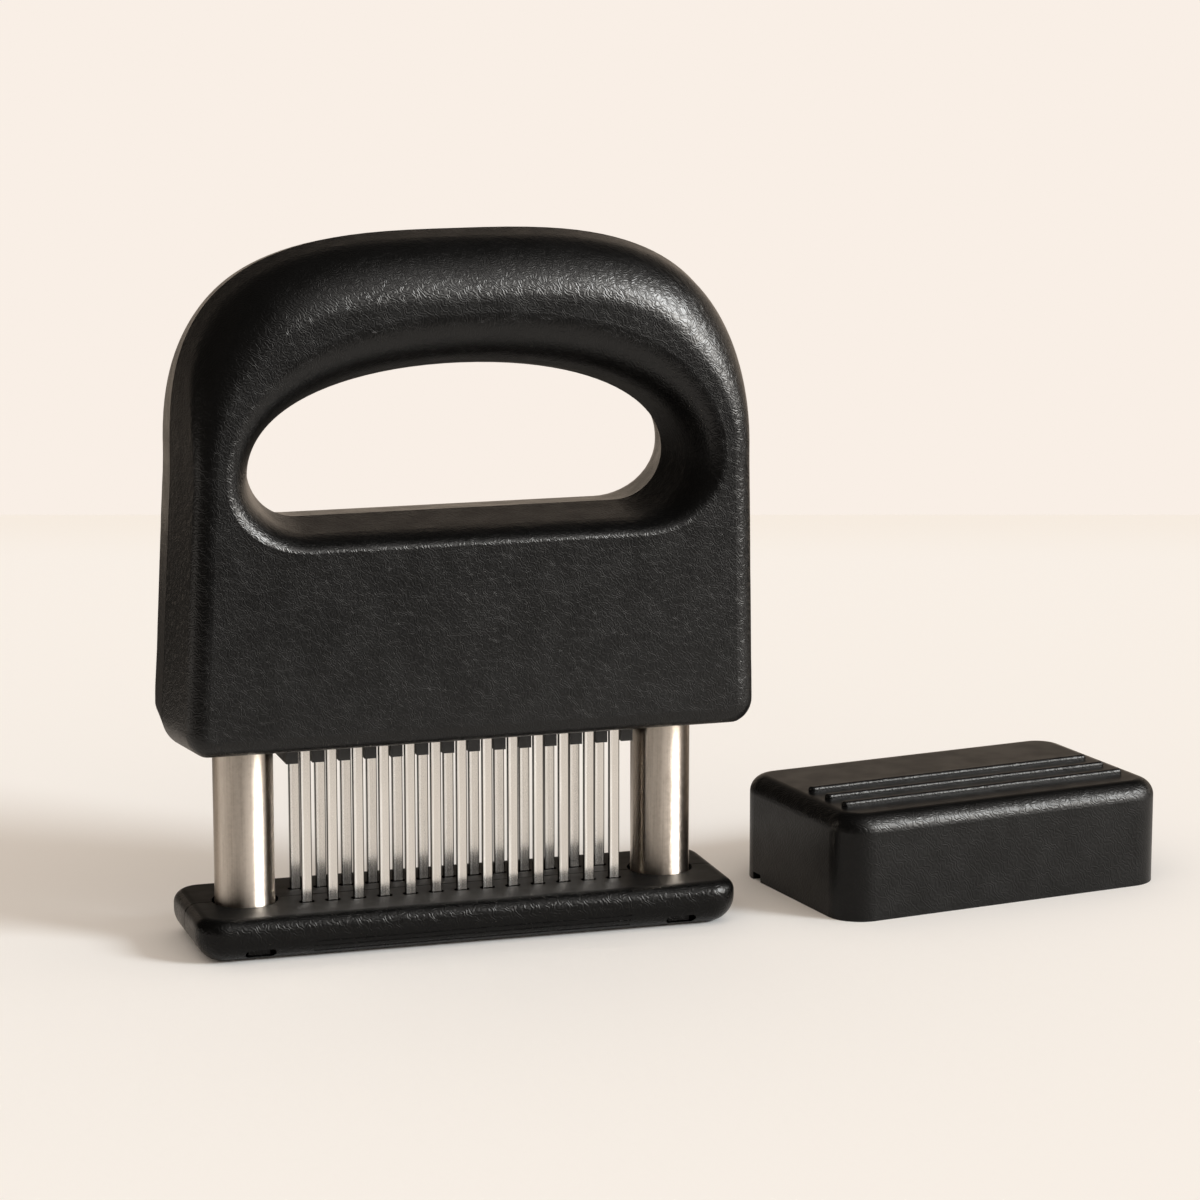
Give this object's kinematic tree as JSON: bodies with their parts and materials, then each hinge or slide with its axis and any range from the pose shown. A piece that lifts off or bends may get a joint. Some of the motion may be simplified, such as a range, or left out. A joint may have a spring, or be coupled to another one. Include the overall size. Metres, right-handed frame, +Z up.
{
  "type": "blade meat tenderizer",
  "caption": "Spring-loaded hand meat tenderizer: a looped handle slides on guide tubes and pushes rows of blades through a slotted base, with a loose blade cover.",
  "frame": {"origin": "centre of the base's underside", "axes": "+Z up along the guide tubes, +X along the rows of blades towards the loose cover, -Y towards the front"},
  "size_m": [0.2091, 0.056, 0.1413],
  "materials": {
    "handle_plastic": "fine leather grain",
    "base_plastic": "fine leather grain, smooth top",
    "cover_plastic": "fine leather grain",
    "comb_plastic": "moulded",
    "bushing_plastic": "moulded",
    "tube_steel": "brushed",
    "blade_steel": "polished",
    "spring_steel": "bare wire",
    "screw_steel": "plain"
  },
  "bodies": {
    "base": {"base_front_half": "base_plastic", "base_rear_half": "base_plastic", "base_screws": "screw_steel", "left_guide_tube": "tube_steel", "right_guide_tube": "tube_steel", "left_stop_ring": "spring_steel", "right_stop_ring": "spring_steel", "left_spring_seat": "screw_steel", "right_spring_seat": "screw_steel", "left_return_spring": "spring_steel", "right_return_spring": "spring_steel"},
    "handle": {"handle_front_shell": "handle_plastic", "handle_rear_shell": "handle_plastic", "handle_screws": "screw_steel", "blade_comb": "comb_plastic", "blade_clamp": "comb_plastic", "clamp_screws": "screw_steel", "front_blade_row": "blade_steel", "rear_blade_row": "blade_steel", "left_slide_bushing": "bushing_plastic", "right_slide_bushing": "bushing_plastic", "left_spring_pin": "comb_plastic", "right_spring_pin": "comb_plastic"},
    "cover": {"blade_cover": "cover_plastic"}
  },
  "joints": [
    {"name": "handle_press", "type": "slide", "parent": "base", "child": "handle", "axis": [0, 0, 1], "range_m": [-0.028, 0], "stiffness_N_per_m": 1600, "springref_m": 0.008, "deforming": ["left_return_spring", "right_return_spring"]},
    {"name": "cover_lift", "type": "slide", "parent": "base", "child": "cover", "axis": [0, 0, 1], "range_m": [0, 0.06]}
  ]
}
